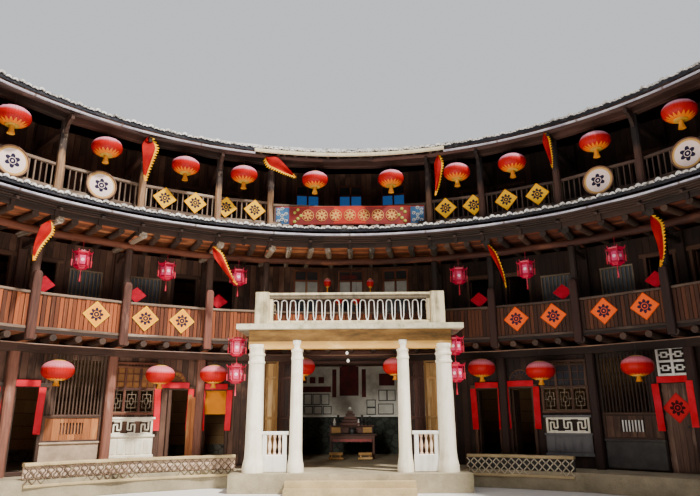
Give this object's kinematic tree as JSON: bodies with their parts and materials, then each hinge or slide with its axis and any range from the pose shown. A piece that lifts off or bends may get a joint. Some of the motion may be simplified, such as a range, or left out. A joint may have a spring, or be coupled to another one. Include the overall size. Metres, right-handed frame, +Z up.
{
  "type": "tulou roundhouse",
  "caption": "Round rammed-earth communal house: ring wall, timber rooms and galleries round a courtyard, tiled saddle roof, hall with portico, and a hinged plank door.",
  "frame": {"origin": "on the ground at the centre of the courtyard", "axes": "+Z up; +Y towards the hall and portico; -Y towards the gate; +X to the right of someone who faces the hall"},
  "size_m": [36.6, 36.6, 11.2853],
  "materials": {
    "rammed_earth": "rammed earth, rough and weathered",
    "stone": "grey stone and cement render",
    "roof_tile": "grey clay tiles, limed at the ends",
    "lime_plaster": "lime plaster over a dark dado",
    "ochre_paint": "ochre limewash",
    "cement": "old cream cement, stained",
    "red_lacquer": "red painted wood",
    "weathered_board": "weathered planks",
    "dark_timber": "dark old timber"
  },
  "bodies": {
    "house": {"altar_table": "dark_timber", "earth_wall_gate_side": "rammed_earth", "earth_wall_hall_side": "rammed_earth", "gate_leaf_left": "dark_timber", "gate_leaf_right": "dark_timber", "ground_posts_front_left": "dark_timber", "ground_posts_front_right": "dark_timber", "ground_posts_rear_left": "dark_timber", "ground_posts_rear_right": "dark_timber", "hall_walls": "lime_plaster", "level_2_balcony": "weathered_board", "level_2_floor": "dark_timber", "level_2_posts_front_left": "dark_timber", "level_2_posts_front_right": "dark_timber", "level_2_posts_rear_left": "dark_timber", "level_2_posts_rear_right": "dark_timber", "level_3_floor": "dark_timber", "level_3_posts_front_left": "dark_timber", "level_3_posts_front_right": "dark_timber", "level_3_posts_rear_left": "dark_timber", "level_3_posts_rear_right": "dark_timber", "level_3_railing": "weathered_board", "name_board": "red_lacquer", "portico_balustrade_left": "cement", "portico_balustrade_right": "cement", "portico_beams": "ochre_paint", "portico_inner_column_left": "cement", "portico_inner_column_right": "cement", "portico_outer_column_left": "cement", "portico_outer_column_right": "cement", "portico_parapet": "cement", "portico_platform": "stone", "portico_slab": "cement", "roof_inner_slope_gate_side": "roof_tile", "roof_inner_slope_hall_side": "roof_tile", "roof_outer_slope_gate_side": "roof_tile", "roof_outer_slope_hall_side": "roof_tile", "roof_ridge": "roof_tile", "room_wall_1_front_left": "dark_timber", "room_wall_1_front_right": "dark_timber", "room_wall_1_rear_left": "dark_timber", "room_wall_1_rear_right": "dark_timber", "room_wall_1_right": "dark_timber", "room_wall_2_front": "dark_timber", "room_wall_2_left": "dark_timber", "room_wall_2_rear": "dark_timber", "room_wall_2_right": "dark_timber", "room_wall_3_front": "dark_timber", "room_wall_3_left": "dark_timber", "room_wall_3_rear": "dark_timber", "room_wall_3_right": "dark_timber", "skirt_eave": "roof_tile", "step_lower": "stone", "step_upper": "stone", "terrace": "stone", "terrace_wall_left": "stone", "terrace_wall_right": "stone", "wall_over_plank_door": "dark_timber"},
    "plank_door": {"plank_door": "weathered_board"}
  },
  "joints": [
    {"name": "plank_door_hinge", "type": "hinge", "parent": "house", "child": "plank_door", "pos_m": [7.45134, 7.72954, 0.42], "axis": [0, 0, 1], "range_deg": [0, 90]}
  ]
}
